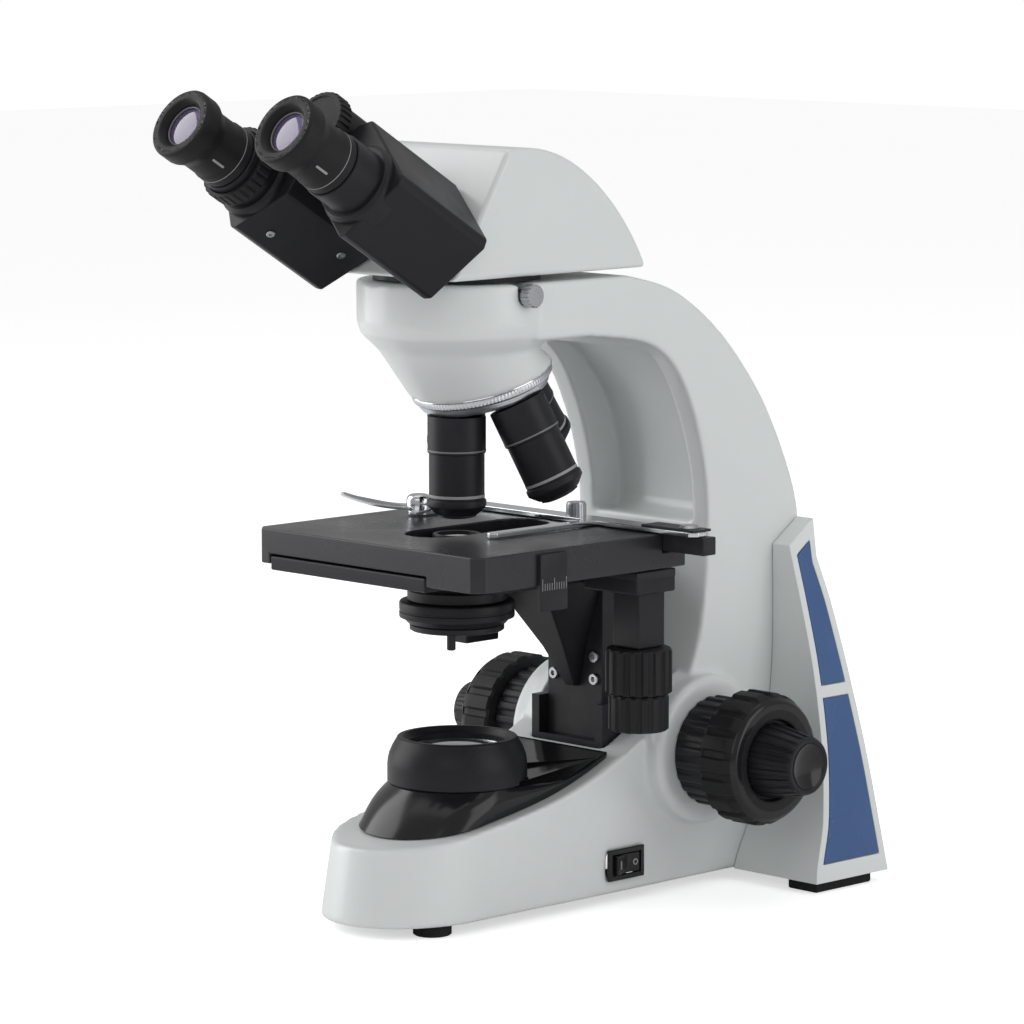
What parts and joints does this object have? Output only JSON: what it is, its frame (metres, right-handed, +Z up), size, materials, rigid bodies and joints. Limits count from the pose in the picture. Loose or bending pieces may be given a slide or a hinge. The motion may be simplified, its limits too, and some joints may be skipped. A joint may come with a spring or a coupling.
{
  "type": "microscope",
  "caption": "Upright binocular compound microscope: curved arm on a horseshoe-nosed base, tilted turret of objectives, mechanical stage, condenser and built-in lamp.",
  "frame": {"origin": "middle of the footprint, on the ground", "axes": "+Z up; the user sits at -Y and the arm stands at +Y; +X is the user's right, the side of the stage drive and the switch"},
  "size_m": [0.2102, 0.32, 0.3596],
  "materials": {
    "white_paint": "cast, under satin white enamel",
    "white_plastic": "satin white moulding",
    "blue_plastic": "glossy blue inlay",
    "black_plastic": "satin black moulding",
    "black_grip": "matte black grip",
    "black_metal": "satin black anodised aluminium",
    "stage_black": "smooth black anodised plate",
    "grey_sheet": "plain sheet steel",
    "rubber_feet": "matte",
    "clear_glass": "coated lens",
    "bare_aluminium": "bare",
    "green_board": "circuit board",
    "bare_steel": "ground",
    "brass_rack": "machined",
    "bright_chrome": "polished"
  },
  "bodies": {
    "stand": {"stand_casting": "white_paint", "base_plate": "grey_sheet", "foot_front_right": "rubber_feet", "foot_front_left": "rubber_feet", "foot_rear_right": "rubber_feet", "foot_rear_left": "rubber_feet", "rear_panel_right": "white_plastic", "rear_panel_left": "white_plastic", "inlay_lower_right": "blue_plastic", "inlay_upper_right": "blue_plastic", "inlay_lower_left": "blue_plastic", "inlay_upper_left": "blue_plastic", "lamp_cover": "black_plastic", "collector_ring": "black_metal", "field_lens": "clear_glass", "led_lamp": "bare_aluminium", "driver_board": "green_board", "switch_bezel": "black_plastic", "power_inlet": "black_plastic", "stop_collar": "black_plastic", "focus_block": "black_metal", "focus_guide": "bare_steel", "head_mount": "black_metal"},
    "rocker": {"switch_rocker": "black_plastic"},
    "dimmer": {"brightness_dial": "black_plastic"},
    "tension": {"tension_collar": "black_plastic"},
    "coarse": {"coarse_knob_right": "black_grip", "coarse_knob_left": "black_grip", "focus_pinion": "bare_steel"},
    "fine": {"fine_knob_right": "black_plastic", "fine_knob_left": "black_plastic", "fine_shaft": "bare_steel"},
    "stage": {"stage_carrier": "black_metal", "focus_rack": "brass_rack", "stage_drive_housing": "black_metal"},
    "stage_y": {"stage_top_plate": "stage_black"},
    "y_knob": {"stage_y_knob": "black_grip"},
    "x_knob": {"stage_x_knob": "black_grip"},
    "slide_x": {"slide_carriage": "black_metal", "slide_holder": "bright_chrome"},
    "spring": {"spring_finger": "bright_chrome"},
    "condenser": {"condenser_holder": "black_metal", "condenser_body": "black_metal"},
    "condenser_drive": {"condenser_knob": "black_grip"},
    "iris": {"iris_ring": "black_metal"},
    "turret": {"nosepiece_turret": "bright_chrome", "objective_40x": "black_metal", "objective_100x": "black_metal", "objective_10x": "black_metal", "objective_4x": "black_metal"},
    "head": {"head_housing": "white_paint", "interpupillary_dial": "black_grip"},
    "head_screw": {"head_lock_screw": "bare_steel"},
    "prism_right": {"prism_housing_right": "black_metal", "eyepiece_right": "black_plastic", "eye_lens_right": "clear_glass"},
    "prism_left": {"prism_housing_left": "black_metal", "eyepiece_left": "black_plastic", "eye_lens_left": "clear_glass"},
    "dioptre": {"dioptre_ring": "black_plastic"}
  },
  "joints": [
    {"name": "coarse_focus", "type": "hinge", "parent": "stand", "child": "coarse", "pos_m": [0, 0.08596, 0.064], "axis": [-1, 0, 0], "range_deg": [-132, 28]},
    {"name": "stage_lift", "type": "slide", "parent": "stand", "child": "stage", "axis": [0, 0, 1], "range_m": [-0.022, 0.0046]},
    {"name": "fine_focus", "type": "hinge", "parent": "stand", "child": "fine", "pos_m": [0, 0.08596, 0.064], "axis": [-1, 0, 0], "continuous": true},
    {"name": "tension_set", "type": "hinge", "parent": "stand", "child": "tension", "pos_m": [0.056, 0.08596, 0.064], "axis": [1, 0, 0], "range_deg": [0, 90]},
    {"name": "stage_y_drive", "type": "hinge", "parent": "stage", "child": "y_knob", "pos_m": [0.056, 0.02996, 0.1075], "axis": [0, 0, 1], "range_deg": [-244, 97]},
    {"name": "stage_y_travel", "type": "slide", "parent": "stage", "child": "stage_y", "axis": [0, 1, 0], "range_m": [-0.034, 0.0134]},
    {"name": "stage_x_drive", "type": "hinge", "parent": "stage", "child": "x_knob", "pos_m": [0.056, 0.02996, 0.089], "axis": [0, 0, 1], "range_deg": [-177, 177]},
    {"name": "slide_x_travel", "type": "slide", "parent": "stage_y", "child": "slide_x", "axis": [1, 0, 0], "range_m": [-0.037, 0.037]},
    {"name": "spring_finger_turn", "type": "hinge", "parent": "slide_x", "child": "spring", "pos_m": [-0.047, -0.00304, 0.172], "axis": [0, 0, -1], "range_deg": [0, 32], "stiffness_Nm_per_rad": 0.1, "springref_deg": -17.19},
    {"name": "condenser_drive", "type": "hinge", "parent": "stage", "child": "condenser_drive", "pos_m": [-0.04, 0.01496, 0.1322], "axis": [1, 0, 0], "range_deg": [-173, 1]},
    {"name": "condenser_lift", "type": "slide", "parent": "stage", "child": "condenser", "axis": [0, 0, 1], "range_m": [-0.018, 0]},
    {"name": "iris_turn", "type": "hinge", "parent": "condenser", "child": "iris", "pos_m": [0, -0.02504, 0.125], "axis": [0, 0, 1], "range_deg": [0, 60]},
    {"name": "turret_turn", "type": "hinge", "parent": "stand", "child": "turret", "pos_m": [0, -0.00745, 0.22372], "axis": [0, 0.309, -0.9511], "continuous": true},
    {"name": "head_turn", "type": "hinge", "parent": "stand", "child": "head", "pos_m": [0, -0.02504, 0.28], "axis": [0, 0, 1], "range_deg": [-85, 85]},
    {"name": "head_screw_turn", "type": "hinge", "parent": "stand", "child": "head_screw", "pos_m": [0.045, -0.02504, 0.272], "axis": [1, 0, 0], "range_deg": [0, 360]},
    {"name": "eyes_apart_right", "type": "hinge", "parent": "head", "child": "prism_right", "pos_m": [0, -0.04904, 0.313], "axis": [0, -0.8572, 0.515], "range_deg": [-15, 15]},
    {"name": "eyes_apart_left", "type": "hinge", "parent": "head", "child": "prism_left", "pos_m": [0, -0.04904, 0.313], "axis": [0, -0.8572, 0.515], "range_deg": [-15, 15]},
    {"name": "dioptre_turn", "type": "hinge", "parent": "prism_left", "child": "dioptre", "pos_m": [-0.03173, -0.06158, 0.29213], "axis": [0, -0.8572, 0.515], "range_deg": [-120, 120]},
    {"name": "switch_rock", "type": "hinge", "parent": "stand", "child": "rocker", "pos_m": [0.0371, 0.04096, 0.018], "axis": [0, 0, 1], "range_deg": [-16, 0]},
    {"name": "brightness_turn", "type": "hinge", "parent": "stand", "child": "dimmer", "pos_m": [-0.04, 0.04096, 0.02], "axis": [-1, 0, 0], "range_deg": [0, 270]}
  ],
  "couplings": [
    {"joint": "coarse_focus", "follows": "stage_lift", "rad_per_m": 104.17},
    {"joint": "stage_y_drive", "follows": "stage_y_travel", "rad_per_m": 125},
    {"joint": "stage_x_drive", "follows": "slide_x_travel", "rad_per_m": 83.333},
    {"joint": "condenser_drive", "follows": "condenser_lift", "rad_per_m": 166.67},
    {"joint": "eyes_apart_left", "follows": "eyes_apart_right", "ratio": -1}
  ]
}
